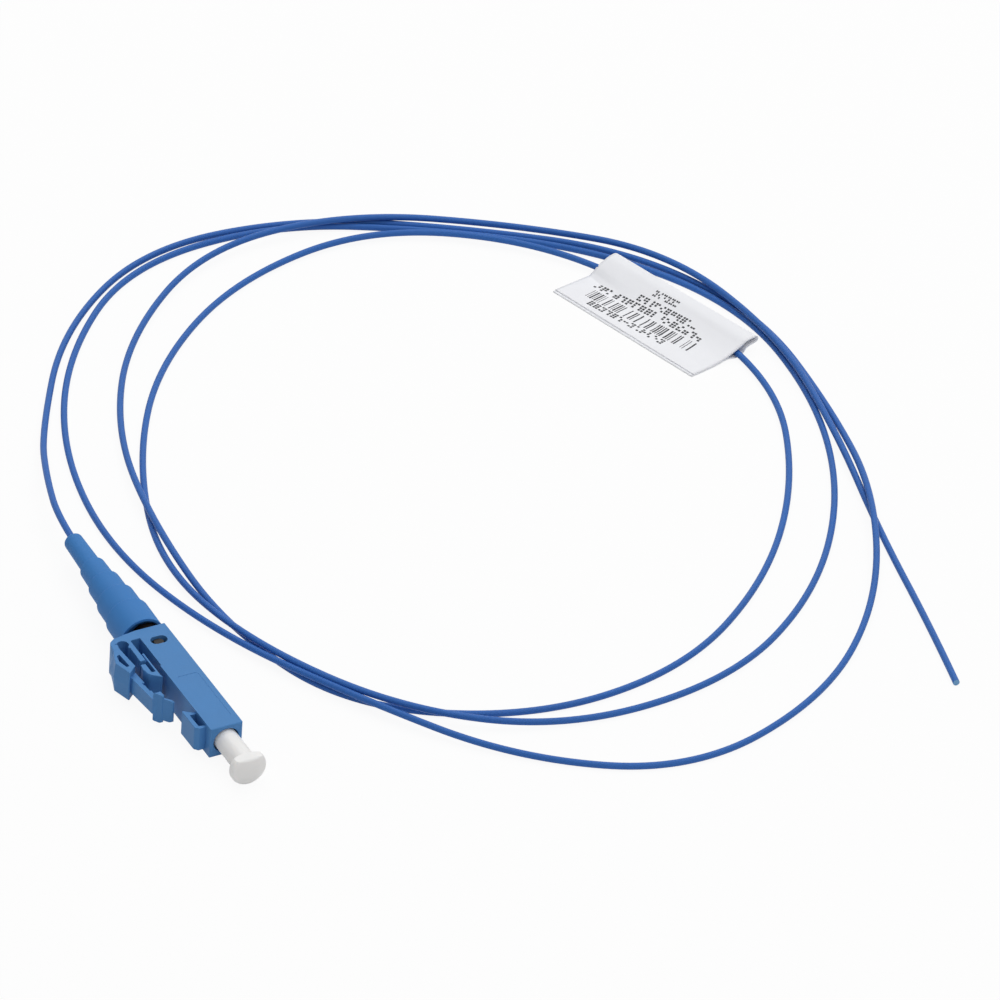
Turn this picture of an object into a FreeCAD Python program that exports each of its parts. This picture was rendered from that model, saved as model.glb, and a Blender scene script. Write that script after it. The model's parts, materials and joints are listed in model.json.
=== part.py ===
"""Fibre optic pigtail: a small square plug with a rear-pivoted latch, its boot and dust cap,
about a metre and a quarter of tight-buffered fibre lying in loose turns, and a folded flag label.

Millimetres. The plug is drawn about its own axis: x runs forward out of the mating face, which
stands at x = 0, y points away from the latch, and z points up out of the side it lies with on top.
It is then laid down on its boot and its dust cap, and moved so that the middle of its footprint is
the origin. The fibre and the label are drawn where they lie.
"""
import FreeCAD
import Part
import math
import os

from FreeCAD import Vector

# Plug housing
HOUSING_SIDE = 4.5
HALF = HOUSING_SIDE / 2
HOUSING_LENGTH = 22.5
EDGE_ROUND = 0.12
FRONT_ROUND = 0.2
FRONT_BORE_R = 1.8
FRONT_BORE_DEPTH = 3.2
SEAT_HOLE_R = 1.1
SEAT_WALL_BACK = 4.2
CHAMBER_R = 1.65
CHAMBER_BACK = 13.2
SOCKET_R = 1.75
WINDOW_AT = 19.6
WINDOW_ACROSS = 2.3
WINDOW_ALONG = 1.55
PANEL_FRONT = 1.55
PANEL_BACK = 11.6
PANEL_ACROSS = 3.0
PANEL_DEPTH = 0.03
PANEL_ROUND = 0.5
# How far a cutter or a joining plate runs past the face it meets
OVERRUN = 0.5

# Latch side of the housing. Outlines are (distance back, distance out from the wall, corner radius).
SLOT_FRONT = 14.6
SLOT_BACK = 20.85
SLOT_IN = 0.16
HINGE_AT = (20.55, 3.5)
KNUCKLE_R = 0.42
KNUCKLE_GAP = 0.06
KEYHOLE_AT = (20.4, 2.5)
KEYHOLE_R = 0.8
ROOT_OUTLINE = (
    (HOUSING_LENGTH, -OVERRUN, 0), (HOUSING_LENGTH, 0.2, 0.4), (22.02, 3.04, 0.3), (21.5, 3.75, 0.35),
    (20.95, 3.97, 0), (20.75, 3.3, 0), (*KEYHOLE_AT, 0), (19.4, 1.88, 0), (16.4, 1.96, 0.12),
    (16.4, 1.2, 0.05), (SLOT_BACK, 1.2, 0.2), (SLOT_BACK, -OVERRUN, 0),
)
# Web and thin rib that carry the hook in front of the stop finger
WEB_OUTLINE = ((17.9, 1.3, 0), (16.5, 1.3, 0), (16.5, 0.75, 0), (17.9, 0.75, 0))
RIB_OUTLINE = ((17.9, 0.97, 0), (13.0, 0.97, 0), (13.0, 0.75, 0), (17.9, 0.75, 0))
HOOK_OUTLINE = (
    (15.87, 1.5, 0.08), (15.87, 2.17, 0.15), (14.8, 2.27, 0.6), (13.65, 2.02, 1.0), (12.45, 0.6, 0.06),
    (13.2, 0.75, 0), (13.95, 0.75, 0), (13.95, 1.5, 0.12),
)
WEB_HALF_HEIGHT = 1.85
HOOK_HALF_HEIGHT = 2.12
# Guard that the tip of the lever ducks behind
GUARD_OUTLINE = ((4.75, -OVERRUN, 0), (4.8, 0.25, 0.1), (5.66, 1.4, 0.12), (1.9, 1.38, 0.3), (1.4, 0.9, 0.2),
                 (1.45, -OVERRUN, 0))
GUARD_SLOT = ((4.3, 0, 0), (4.42, 0.84, 0.12), (1.95, 0.8, 0.12), (1.75, 0, 0))
GUARD_HALF_HEIGHT = 1.75
SOFT_EDGE = 0.07

# Latch lever
NECK_OUTLINE = ((HINGE_AT[0], 3.2, 0), (HINGE_AT[0], 3.86, 0), (19.6, 4.1, 0), (19.4, 3.2, 0))
# Thumb trigger: its outline at middle height, and at its top and bottom, which are drawn in
TRIGGER_OUTLINE = ((20.1, 4.25, 0.2), (19.4, 4.8, 0.5), (17.3, 5.2, 0.25), (14.65, 4.3, 0.12),
                   (15.9, 2.9, 0.15), (19.85, 3.2, 0))
TRIGGER_ENDS = ((19.75, 4.05, 0.2), (19.0, 4.42, 0.5), (17.35, 5.0, 0.25), (14.7, 4.2, 0.12),
                (15.9, 2.9, 0.15), (19.85, 3.2, 0))
TRIGGER_WINDOW = ((18.84, 3.75, 0.12), (18.6, 4.2, 0.12), (17.5, 4.4, 0.2), (16.07, 4.03, 0.12),
                  (16.13, 3.6, 0.12))
TRIGGER_HALF_HEIGHT = 2.2
ARM_OUTLINE = ((15.8, 2.9, 0), (15.2, 3.88, 0), (9.9, 3.32, 0.1), (9.5, 2.55, 0))
ARM_INSET = ((13.45, 2.4, 0), (13.45, 3.1, 0), (11.65, 2.9, 0), (11.65, 2.4, 0))
ARM_INSET_DEPTH = 0.3
ARM_HALF_HEIGHT = 1.15
RAMP_OUTLINE = ((10.0, 3.4, 0.15), (7.72, 1.5, 0.12), (7.8, 1.25, 0.06), (9.2, 2.35, 0.3), (10.0, 2.6, 0))
RAMP_HALF_HEIGHT = 1.7
RAMP_ROUND = 0.45
LUG_OUTLINE = ((10.0, 3.3, 0.1), (8.8, 2.5, 0.1), (8.8, 2.2, 0.1), (10.0, 2.4, 0.1))
LUG_HALF_HEIGHT = 2.2
LUG_ROUND = 0.35

# Ferrule, its flange and its spring
FERRULE_R = 0.625
FERRULE_TIP = -1.9
FERRULE_BACK = 4.9
FERRULE_CHAMFER = 0.25
FERRULE_BORE_R = 0.07
NOSE_R = 1.0
NOSE_FRONT = 3.35
COLLAR_R = 1.5
COLLAR_BACK = 5.9
TAIL_R = 0.75
TAIL_BACK = 11.0
TAIL_BORE_R = 0.3
SPRING_R = 1.19
SPRING_WIRE_R = 0.16
SPRING_TURNS = 8
SPRING_SLACK = 0.01

# Backbone that closes the housing and carries the boot
BACKBONE_FRONT = 13.3
BACKBONE_R = 1.7
BACKBONE_LEAD = 0.3
BACKBONE_COLLAR_R = 2.1
BACKBONE_COLLAR_BACK = 23.6
BACKBONE_TAIL_R = 1.1
BACKBONE_BARB_R = 1.44
BACKBONE_BARBS = 3
BARB_SHARE = 0.7
BACKBONE_TAIL_BACK = 29.2
BACKBONE_BORE_R = 0.75
BACKBONE_MOUTH_R = 1.0
BACKBONE_MOUTH_DEPTH = 1.0
SNAP_ACROSS = 1.3
SNAP_ALONG = 1.15
SNAP_TOP = 1.95

# Boot: where each section ends behind the mating face, its radius there, and the radius the next starts with
BOOT_FRONT = 23.25
BOOT_RIM_R = 3.05
BOOT_RIM_ROUND = 0.08
BOOT_STEPS = ((28.1, 3.0, 2.7), (31.9, 2.64, 2.28), (35.6, 2.21, 1.87), (39.35, 1.76, 1.41))
BOOT_END = 45.85
BOOT_END_R = 1.27
BOOT_END_ROUND = 0.35
BOOT_STEP_RUN = 0.3
BOOT_STEP_ROUND = 0.22
BOOT_STEP_HOLLOW = 0.12
BOOT_MOUTH_R = 2.7
BOOT_MOUTH_DEPTH = 1.2
BOOT_SOCKET_R = 1.4
BOOT_SOCKET_BACK = 29.6
BOOT_BORE_R = 0.6
BOOT_LIP_R = 0.49
BOOT_LIP_DEPTH = 2.0
# The soft boot sits a little askew: turned about a point on the axis this far back
BOOT_YAW = 2.3
BOOT_YAW_AT = 34.6

# Dust cap
CAP_STEM_R = 1.575
CAP_STEM_END_R = 1.63
CAP_INNER_END = 2.9
CAP_LEAD = 0.15
CAP_BORE_R = 0.69
CAP_BORE_END = -2.7
CAP_BORE_POINT = 0.25
CAP_HEAD_R = 2.45
CAP_HEAD_BACK = -5.6
CAP_HEAD_FLARE = 0.35
# Head in section: (place ahead of the mating face, radius, corner radius), from the rim's back to the face
CAP_RIM = ((5.6, CAP_HEAD_R, 0.3), (6.55, CAP_HEAD_R, 0.42), (6.83, 1.1, 3.0), (6.83, 0, 0))
# Head as seen from its side: the flat runs on from the top of the stem and rolls over into the face
CAP_SIDE = ((4.0, -4.0, 0), (7.6, -4.0, 0), (6.75, CAP_STEM_END_R, 0.45), (4.0, CAP_STEM_END_R, 0))

# Fibre
BUFFER_R = 0.45
BUFFER_FRONT = 14.6
BUFFER_BORE_R = 0.18
BUFFER_BORE_BACK = 18.4
GLASS_R = 0.0625
COATING_R = 0.125
COATING_BACK = 17.0

# Fibre route: corners of the line it lies along, from inside the plug, out of the boot, three and a half
# times round, to the cut end. Low stretches lie on the table and the high ones pass over another turn.
FIBRE_ROUTE = (
    (4.92, 2.35, 2.87), (-10.08, 2.35, 3.17), (-30.5, 2.92, 3.59), (-41.8, 6.4, 2.7), (-53.6, 11.4, 0.55),
    (-74.8, 24.5, 0.45), (-88.4, 43.5, 0.47), (-86.6, 66.6, 0.45), (-75.3, 86.2, 0.45), (-61.2, 104.6, 0.45),
    (-40.3, 113.2, 0.48), (-17.1, 111.0, 0.45), (4.6, 105.4, 2.11), (24.7, 94.5, 0.62), (40.0, 77.9, 0.45),
    (47.0, 54.8, 0.45), (35.5, 35.4, 0.52), (16.8, 21.9, 1.79), (-3.6, 12.1, 1.07), (-26.2, 8.2, 0.45),
    (-48.6, 12.0, 0.51), (-68.8, 22.3, 0.45), (-85.2, 39.1, 0.45), (-86.9, 62.1, 0.45), (-76.5, 82.6, 0.45),
    (-62.7, 101.0, 0.45), (-43.0, 111.9, 0.45), (-19.7, 110.3, 0.45), (1.3, 102.2, 0.45), (19.5, 88.1, 0.45),
    (31.7, 69.1, 0.49), (32.2, 45.0, 0.45), (21.5, 26.3, 1.78), (0.8, 14.8, 1.59), (-21.3, 12.7, 0.45),
    (-43.4, 20.6, 0.49), (-62.1, 32.7, 0.45), (-76.3, 51.1, 0.46), (-80.4, 73.8, 0.45), (-67.5, 93.6, 0.6),
    (-47.3, 103.9, 0.68), (-24.4, 107.0, 0.6), (-3.4, 97.8, 0.45), (14.3, 83.6, 0.45), (27.2, 64.5, 0.45),
    (28.8, 41.6, 0.45), (17.0, 20.8, 0.51), (-5.2, 14.4, 0.45), (-27.9, 15.1, 1.89), (-49.9, 20.5, 0.73),
    (-69.6, 31.8, 0.45), (-84.2, 50.3, 1.25), (-84.2, 72.8, 1.73), (-73.8, 93.9, 0.45), (-56.4, 107.9, 1.62),
    (-33.3, 112.1, 1.7), (-11.2, 108.4, 1.31), (10.9, 102.7, 0.45), (32.7, 98.0, 0.45), (44.0, 95.1, 0.45),
)
BEND_SHARE = 0.45

# Flag label folded over the fibre: its near left corner, the way its length runs, and the lean of its ends
LABEL_CORNER = (-57.1, 90.2)
LABEL_HEADING = 16.3
LABEL_LEAN = 4.8
LABEL_LENGTH = 26.7
LABEL_FILM = 0.15
LABEL_LIP = 0.4
FOLD_AT = 10.6
FOLD_R = 1.15
# Height of the upper leaf up to the fold, as (distance in, height): at the left end it lies on the lower leaf and
# steps up over the fibre, at the right end it slopes up evenly
LABEL_RISE = (
    ((6.4, 0.3), (7.0, 0.64), (7.4, 1.0), (7.85, 1.34), (8.8, 1.8), (9.7, 2.16)),
    ((2.4, 0.6), (4.0, 0.88), (5.6, 1.18), (7.1, 1.5), (8.5, 1.82), (9.7, 2.16)),
)
# The same leaf from underneath
LABEL_UNDER = (
    ((6.75, 0.15), (7.1, 0.5), (7.5, 0.88), (7.93, 1.2), (8.85, 1.64), (9.73, 2.0)),
    ((1.2, 0.15), (4.03, 0.73), (5.63, 1.03), (7.13, 1.35), (8.54, 1.67), (9.74, 2.0)),
)


def box(x0, x1, y0, y1, z0, z1):
    """Block between two corners."""
    return Part.makeBox(x1 - x0, y1 - y0, z1 - z0, Vector(x0, y0, z0))


def rod(radius, back, front):
    """Round bar on the plug's axis, between two distances back from the mating face."""
    return Part.makeCylinder(radius, back - front, Vector(-back, 0, 0), Vector(1, 0, 0))


def turned(profile):
    """Solid of revolution about the plug's axis from (distance back, radius) points."""
    points = [Vector(-back, 0, radius) for back, radius in profile]
    face = Part.Face(Part.makePolygon(points + points[:1]))
    return face.revolve(Vector(0, 0, 0), Vector(1, 0, 0), 360)


def rounded_wire(corners):
    """Closed flat wire from (x, y, radius) corners, each turned by an arc of its radius."""
    count = len(corners)
    edges = []
    starts, ends, middles = [], [], []
    for i, (x, y, radius) in enumerate(corners):
        here = Vector(x, y, 0)
        before = Vector(*corners[i - 1][:2], 0) - here
        after = Vector(*corners[(i + 1) % count][:2], 0) - here
        before.normalize()
        after.normalize()
        half = before.getAngle(after) / 2
        starts.append(here + before * (radius / math.tan(half)))
        ends.append(here + after * (radius / math.tan(half)))
        inward = before + after
        if inward.Length > 1e-9:
            inward.normalize()
        middles.append(here + inward * (radius / math.sin(half) - radius))
    for i, (_, _, radius) in enumerate(corners):
        if radius > 0:
            edges.append(Part.Arc(starts[i], middles[i], ends[i]).toShape())
        following = starts[(i + 1) % count]
        if (following - ends[i]).Length > 1e-6:
            edges.append(Part.LineSegment(ends[i], following).toShape())
    return Part.Wire(edges)


def side_face(outline):
    """Flat face on the latch side from (back, out, radius) corners."""
    return Part.Face(rounded_wire([(-back, -HALF - out, radius) for back, out, radius in outline]))


def side_plate(outline, half_height):
    """Plate across the plug's height from (back, out, radius) corners on the latch side."""
    face = side_face(outline)
    return face.extrude(Vector(0, 0, 2 * half_height)).translated(Vector(0, 0, -half_height))


def side_post(at, radius, half_height):
    """Upright cylinder on the latch side, centred at (back, out)."""
    return Part.makeCylinder(radius, 2 * half_height, Vector(-at[0], -HALF - at[1], -half_height))


def soft_rims(plate, half_height):
    """The plate with the edges of its top and bottom faces rounded."""
    rims = [e for e in plate.Edges if abs(abs(e.CenterOfMass.z) - half_height) < 1e-6]
    return plate.makeFillet(SOFT_EDGE, rims)


def soft_plate(outline, half_height):
    """Plate on the latch side with soft edges round its top and bottom faces."""
    return soft_rims(side_plate(outline, half_height), half_height)


def upright_block(back, front, half_height, radius):
    """Block outwards through the latch side with four rounded corners as seen from that side."""
    corners = [(-back, -half_height, radius), (-front, -half_height, radius), (-front, half_height, radius),
               (-back, half_height, radius)]
    face = Part.Face(rounded_wire(corners))
    face.rotate(Vector(0, 0, 0), Vector(1, 0, 0), 90)
    return face.extrude(Vector(0, -2 * HOUSING_SIDE, 0))


def oval(at, across_size, along, z0, z1):
    """Upright racetrack prism centred on the axis at a distance back."""
    r = along / 2
    x, y = -at, across_size / 2
    corners = [(x + sx * r, sy * y, r * 0.999) for sx, sy in ((-1, -1), (1, -1), (1, 1), (-1, 1))]
    return Part.Face(rounded_wire(corners)).extrude(Vector(0, 0, z1 - z0)).translated(Vector(0, 0, z0))


def make_housing():
    """Square body with its stepped bore, the latch root, the stop finger, its hook and the front guard."""
    body = box(-HOUSING_LENGTH, 0, -HALF, HALF, -HALF, HALF)
    long_edges = [e for e in body.Edges if abs(e.tangentAt(0).x) > 0.9 and e.CenterOfMass.y > 0]
    body = body.makeFillet(EDGE_ROUND, long_edges)
    front_edges = [e for e in body.Edges if all(abs(v.X) < 1e-6 for v in e.Vertexes)]
    body = body.makeFillet(FRONT_ROUND, front_edges)
    past = HALF + OVERRUN
    body = body.cut(box(-SLOT_BACK, -SLOT_FRONT, -past, -HALF + SLOT_IN, -past, past))

    root = soft_plate(ROOT_OUTLINE, HALF).cut(side_post(KEYHOLE_AT, KEYHOLE_R, past))
    root = root.cut(side_post(HINGE_AT, KNUCKLE_R + KNUCKLE_GAP, past))
    web = side_plate(WEB_OUTLINE, WEB_HALF_HEIGHT)
    rib = side_plate(RIB_OUTLINE, HOOK_HALF_HEIGHT)
    hook = soft_plate(HOOK_OUTLINE, HOOK_HALF_HEIGHT)
    guard = soft_plate(GUARD_OUTLINE, GUARD_HALF_HEIGHT).cut(side_plate(GUARD_SLOT, past))

    housing = body.fuse([root, web, rib, hook, guard])
    for cutter in (rod(FRONT_BORE_R, FRONT_BORE_DEPTH, -OVERRUN),
                   rod(SEAT_HOLE_R, SEAT_WALL_BACK + OVERRUN, 0),
                   rod(CHAMBER_R, CHAMBER_BACK, SEAT_WALL_BACK),
                   rod(SOCKET_R, HOUSING_LENGTH + OVERRUN, CHAMBER_BACK),
                   oval(WINDOW_AT, WINDOW_ACROSS, WINDOW_ALONG, -past, past)):
        housing = housing.cut(cutter)
    panel_at = (PANEL_FRONT + PANEL_BACK) / 2
    half_along = (PANEL_BACK - PANEL_FRONT) / 2
    corners = [(-panel_at + sx * half_along, sy * PANEL_ACROSS / 2, PANEL_ROUND)
               for sx, sy in ((-1, -1), (1, -1), (1, 1), (-1, 1))]
    panel = Part.Face(rounded_wire(corners)).extrude(Vector(0, 0, 2 * PANEL_DEPTH))
    for z in (HALF, -HALF):
        housing = housing.cut(panel.translated(Vector(0, 0, z - PANEL_DEPTH)))
    return housing.removeSplitter()


def make_latch_lever():
    """Thumb trigger, sprung arm, locking lugs and ramp, all one moulding turning at the root of the latch."""
    knuckle = side_post(HINGE_AT, KNUCKLE_R, TRIGGER_HALF_HEIGHT)
    neck = side_plate(NECK_OUTLINE, TRIGGER_HALF_HEIGHT)
    ends = [side_face(TRIGGER_ENDS).OuterWire.translated(Vector(0, 0, z))
            for z in (-TRIGGER_HALF_HEIGHT, TRIGGER_HALF_HEIGHT)]
    trigger = Part.makeLoft([ends[0], side_face(TRIGGER_OUTLINE).OuterWire, ends[1]], True, True)
    trigger = soft_rims(trigger, TRIGGER_HALF_HEIGHT).cut(side_plate(TRIGGER_WINDOW, HALF + OVERRUN))
    arm = side_plate(ARM_OUTLINE, ARM_HALF_HEIGHT)
    inset = side_face(ARM_INSET).extrude(Vector(0, 0, 2 * ARM_INSET_DEPTH))
    for z in (ARM_HALF_HEIGHT, -ARM_HALF_HEIGHT):
        arm = arm.cut(inset.translated(Vector(0, 0, z - ARM_INSET_DEPTH)))
    ramp = side_plate(RAMP_OUTLINE, RAMP_HALF_HEIGHT)
    ramp_places = [corner[0] for corner in RAMP_OUTLINE]
    ramp_back = max(ramp_places) + 2 * RAMP_ROUND
    ramp = ramp.common(upright_block(ramp_back, min(ramp_places), RAMP_HALF_HEIGHT, RAMP_ROUND))
    lug_places = [corner[0] for corner in LUG_OUTLINE]
    lugs = side_plate(LUG_OUTLINE, LUG_HALF_HEIGHT)
    lugs = lugs.common(upright_block(max(lug_places), min(lug_places), LUG_HALF_HEIGHT, LUG_ROUND))
    return knuckle.fuse([neck, trigger, arm, ramp, lugs]).removeSplitter()


def make_ferrule():
    """Ceramic ferrule with a chamfered tip and its hair-fine bore."""
    ferrule = turned([(FERRULE_TIP, FERRULE_BORE_R), (FERRULE_TIP, FERRULE_R - FERRULE_CHAMFER),
                      (FERRULE_TIP + FERRULE_CHAMFER, FERRULE_R), (FERRULE_BACK, FERRULE_R),
                      (FERRULE_BACK, FERRULE_BORE_R)])
    return ferrule


def make_ferrule_flange():
    """Metal holder: nose round the ferrule, seat collar, and tail tube inside the spring."""
    return turned([(NOSE_FRONT, FERRULE_R), (NOSE_FRONT, NOSE_R), (SEAT_WALL_BACK, NOSE_R),
                   (SEAT_WALL_BACK, COLLAR_R), (COLLAR_BACK, COLLAR_R), (COLLAR_BACK, TAIL_R),
                   (TAIL_BACK, TAIL_R), (TAIL_BACK, TAIL_BORE_R), (FERRULE_BACK, TAIL_BORE_R),
                   (FERRULE_BACK, FERRULE_R)])


def make_spring():
    """Coil spring between the flange collar and the backbone."""
    length = BACKBONE_FRONT - COLLAR_BACK - 2 * SPRING_WIRE_R - 2 * SPRING_SLACK
    helix = Part.makeHelix(length / SPRING_TURNS, length, SPRING_R)
    start = Part.Circle(Vector(SPRING_R, 0, 0), Vector(0, 1, 0), SPRING_WIRE_R)
    wire = Part.Wire([start.toShape()])
    coil = Part.Wire(helix.Edges).makePipeShell([wire], True, True)
    coil = coil.copy()
    coil.rotate(Vector(0, 0, 0), Vector(0, 1, 0), -90)
    coil.translate(Vector(-COLLAR_BACK - SPRING_WIRE_R - SPRING_SLACK, 0, 0))
    return coil


def make_backbone():
    """Inner body pressed in from behind: sleeve with two snap lugs, collar, and barbed tail."""
    profile = [(BACKBONE_FRONT, BACKBONE_MOUTH_R), (BACKBONE_FRONT, BACKBONE_R - BACKBONE_LEAD / 2),
               (BACKBONE_FRONT + BACKBONE_LEAD, BACKBONE_R), (HOUSING_LENGTH, BACKBONE_R),
               (HOUSING_LENGTH, BACKBONE_COLLAR_R), (BACKBONE_COLLAR_BACK, BACKBONE_COLLAR_R),
               (BACKBONE_COLLAR_BACK, BACKBONE_TAIL_R)]
    barb_pitch = (BACKBONE_TAIL_BACK - BACKBONE_COLLAR_BACK) / (BACKBONE_BARBS + 1)
    for i in range(1, BACKBONE_BARBS + 1):
        at = BACKBONE_COLLAR_BACK + i * barb_pitch
        profile += [(at, BACKBONE_TAIL_R), (at, BACKBONE_BARB_R)]
        profile.append((at + BARB_SHARE * barb_pitch, BACKBONE_TAIL_R))
    profile += [(BACKBONE_TAIL_BACK, BACKBONE_TAIL_R), (BACKBONE_TAIL_BACK, BACKBONE_BORE_R),
                (BACKBONE_FRONT + BACKBONE_MOUTH_DEPTH, BACKBONE_BORE_R)]
    backbone = turned(profile)
    snap = oval(WINDOW_AT, SNAP_ACROSS, SNAP_ALONG, -SNAP_TOP, SNAP_TOP)
    snap = snap.cut(rod(BACKBONE_BORE_R + BACKBONE_LEAD, HOUSING_LENGTH, BACKBONE_FRONT))
    return backbone.fuse(snap).removeSplitter()


def make_boot():
    """Soft strain relief in five sections that narrow towards the fibre, each with a rounded shoulder."""
    corners = [(-BOOT_FRONT, 0, 0), (-BOOT_FRONT, BOOT_RIM_R, BOOT_RIM_ROUND)]
    for back, radius_before, radius_after in BOOT_STEPS:
        corners.append((-back, radius_before, BOOT_STEP_ROUND))
        corners.append((-back - BOOT_STEP_RUN, radius_after, BOOT_STEP_HOLLOW))
    corners += [(-BOOT_END, BOOT_END_R, BOOT_END_ROUND), (-BOOT_END, 0, 0)]
    boot = Part.Face(rounded_wire(corners)).revolve(Vector(0, 0, 0), Vector(1, 0, 0), 360)
    boot = boot.cut(rod(BOOT_MOUTH_R, BOOT_FRONT + BOOT_MOUTH_DEPTH, BOOT_FRONT - OVERRUN))
    turn = FreeCAD.Rotation(Vector(0, 0, 1), -BOOT_YAW)
    pivot = Vector(-BOOT_YAW_AT, 0, 0)
    boot.Placement = FreeCAD.Placement(Vector(0, 0, 0), turn, pivot)
    boot = boot.cut(rod(BOOT_SOCKET_R, BOOT_SOCKET_BACK, BOOT_FRONT))
    inner_end = Vector(-BOOT_SOCKET_BACK, 0, 0)
    outlet = pivot + turn.multVec(Vector(-BOOT_END, 0, 0) - pivot)
    along = outlet - inner_end
    bore_length = along.Length - BOOT_LIP_DEPTH
    along.normalize()
    boot = boot.cut(Part.makeCylinder(BOOT_BORE_R, bore_length + OVERRUN, inner_end - along * OVERRUN, along))
    lip_start = inner_end + along * (bore_length - OVERRUN)
    return boot.cut(Part.makeCylinder(BOOT_LIP_R, BOOT_LIP_DEPTH + 2 * OVERRUN, lip_start, along))


def make_dust_cap():
    """Soft push-in cap: stem over the ferrule, and a round head with one flat side to pull it by."""
    stem = turned([(CAP_INNER_END, CAP_BORE_R), (CAP_INNER_END, CAP_STEM_R - CAP_LEAD),
                   (CAP_INNER_END - CAP_LEAD, CAP_STEM_R), (0, CAP_STEM_R), (CAP_HEAD_BACK, CAP_STEM_END_R),
                   (CAP_HEAD_BACK, 0), (CAP_BORE_END - CAP_BORE_POINT, 0), (CAP_BORE_END, CAP_BORE_R)])
    neck = -CAP_HEAD_BACK - CAP_HEAD_FLARE
    section = Part.Face(rounded_wire([(neck, 0, 0), (neck, CAP_STEM_END_R, 0), *CAP_RIM]))
    head = section.revolve(Vector(0, 0, 0), Vector(1, 0, 0), 360)
    side = Part.Face(rounded_wire(CAP_SIDE))
    side.rotate(Vector(0, 0, 0), Vector(1, 0, 0), 90)
    side.translate(Vector(0, CAP_HEAD_R + OVERRUN, 0))
    head = head.common(side.extrude(Vector(0, -2 * (CAP_HEAD_R + OVERRUN), 0)))
    return stem.fuse(head).removeSplitter()


def make_bare_fibre():
    """Stripped glass inside the ferrule, and its thin coating from there to the buffer."""
    return turned([(FERRULE_TIP, 0), (FERRULE_TIP, GLASS_R), (FERRULE_BACK, GLASS_R),
                   (FERRULE_BACK, COATING_R), (COATING_BACK, COATING_R), (COATING_BACK, 0)])


def make_buffered_fibre():
    """Tight-buffered fibre along its route, with the blind hole its own glass runs into at the plug end."""
    corners = [Vector(*point) for point in FIBRE_ROUTE]
    edges = []
    radii = []
    here = corners[0]
    for before, corner, after in zip(corners, corners[1:], corners[2:]):
        back = before - corner
        on = after - corner
        reach = BEND_SHARE * min(back.Length, on.Length)
        back.normalize()
        on.normalize()
        half = back.getAngle(on) / 2
        radius = reach * math.tan(half)
        radii.append(round(radius, 1))
        inward = back + on
        inward.normalize()
        middle = corner + inward * (radius / math.sin(half) - radius)
        start, end = corner + back * reach, corner + on * reach
        edges.append(Part.LineSegment(here, start).toShape())
        edges.append(Part.Arc(start, middle, end).toShape())
        here = end
    edges.append(Part.LineSegment(here, corners[-1]).toShape())
    print("fibre bend radii", radii)
    heading = corners[1] - corners[0]
    section = Part.Wire([Part.Circle(corners[0], heading, BUFFER_R).toShape()])
    fibre = Part.Wire(edges).makePipeShell([section], True, True)
    hole = Part.makeCylinder(BUFFER_BORE_R, BUFFER_BORE_BACK - BUFFER_FRONT, corners[0], heading)
    return fibre.cut(hole)


def make_flag_label():
    """Folded film with a hollow fold that the fibre passes through, and one leaf a little longer."""
    heading = math.radians(LABEL_HEADING)
    along = Vector(math.cos(heading), math.sin(heading), 0) * LABEL_LENGTH

    def spot(pair):
        return Vector(0, pair[0], pair[1])

    def loop(floor_from, floor, radius, leaf):
        top = spot((FOLD_AT, FOLD_R + radius))
        curve = Part.BSplineCurve()
        curve.interpolate([top] + [spot(pair) for pair in reversed(leaf)])
        outer = spot((FOLD_AT + radius, FOLD_R))
        return [Part.LineSegment(spot((floor_from, floor)), spot((FOLD_AT, floor))).toShape(),
                Part.Arc(spot((FOLD_AT, floor)), outer, top).toShape(), curve.toShape()]

    def laid(edges, share):
        wire = Part.Wire(edges)
        wire.rotate(Vector(0, 0, 0), Vector(0, 0, 1), LABEL_HEADING - LABEL_LEAN)
        wire.translate(Vector(LABEL_CORNER[0], LABEL_CORNER[1], 0) + along * share)
        return wire

    outsides, insides = [], []
    for share, (rise, under) in enumerate(zip(LABEL_RISE, LABEL_UNDER)):
        edges = loop(0, 0, FOLD_R, rise)
        rest = [rise[0], (LABEL_LIP, 2 * LABEL_FILM), (LABEL_LIP, LABEL_FILM), (0, LABEL_FILM), (0, 0)]
        edges += [Part.LineSegment(spot(a), spot(b)).toShape() for a, b in zip(rest, rest[1:])]
        outsides.append(laid(edges, share))
        insides.append(laid(loop(under[0][0], LABEL_FILM, FOLD_R - LABEL_FILM, under), share))
    return Part.makeLoft(outsides, True, True).cut(Part.makeLoft(insides, True, True))


def build():
    """The plug's pieces, laid down and centred, with the fibre and the label where they lie."""
    plug = {
        "housing": make_housing(),
        "latch_lever": make_latch_lever(),
        "ferrule": make_ferrule(),
        "ferrule_flange": make_ferrule_flange(),
        "spring": make_spring(),
        "backbone": make_backbone(),
        "boot": make_boot(),
        "dust_cap": make_dust_cap(),
        "bare_fibre": make_bare_fibre(),
    }
    rest_run = BOOT_FRONT + CAP_RIM[1][0]
    lay_angle = math.degrees(math.atan((BOOT_RIM_R - CAP_HEAD_R) / rest_run))
    for shape in plug.values():
        shape.rotate(Vector(0, 0, 0), Vector(0, 1, 0), lay_angle)
    outer = [plug[name] for name in ("housing", "latch_lever", "boot", "dust_cap")]
    reach = Part.makeCompound(outer).optimalBoundingBox()
    shift = Vector(-reach.Center.x, -reach.Center.y, -reach.ZMin)
    for shape in plug.values():
        shape.translate(shift)
    print("lay angle", round(lay_angle, 4), "mating face at", [round(c, 4) for c in shift])
    plug["buffered_fibre"] = make_buffered_fibre()
    plug["flag_label"] = make_flag_label()
    return plug


def main():
    os.makedirs("parts", exist_ok=True)
    for name, shape in build().items():
        solid = shape.Solids[0] if len(shape.Solids) == 1 else shape
        print(name, "solids", len(shape.Solids), "valid", shape.isValid(), "volume", round(shape.Volume, 3))
        solid.exportStep("parts/" + name + ".step")


main()
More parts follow.
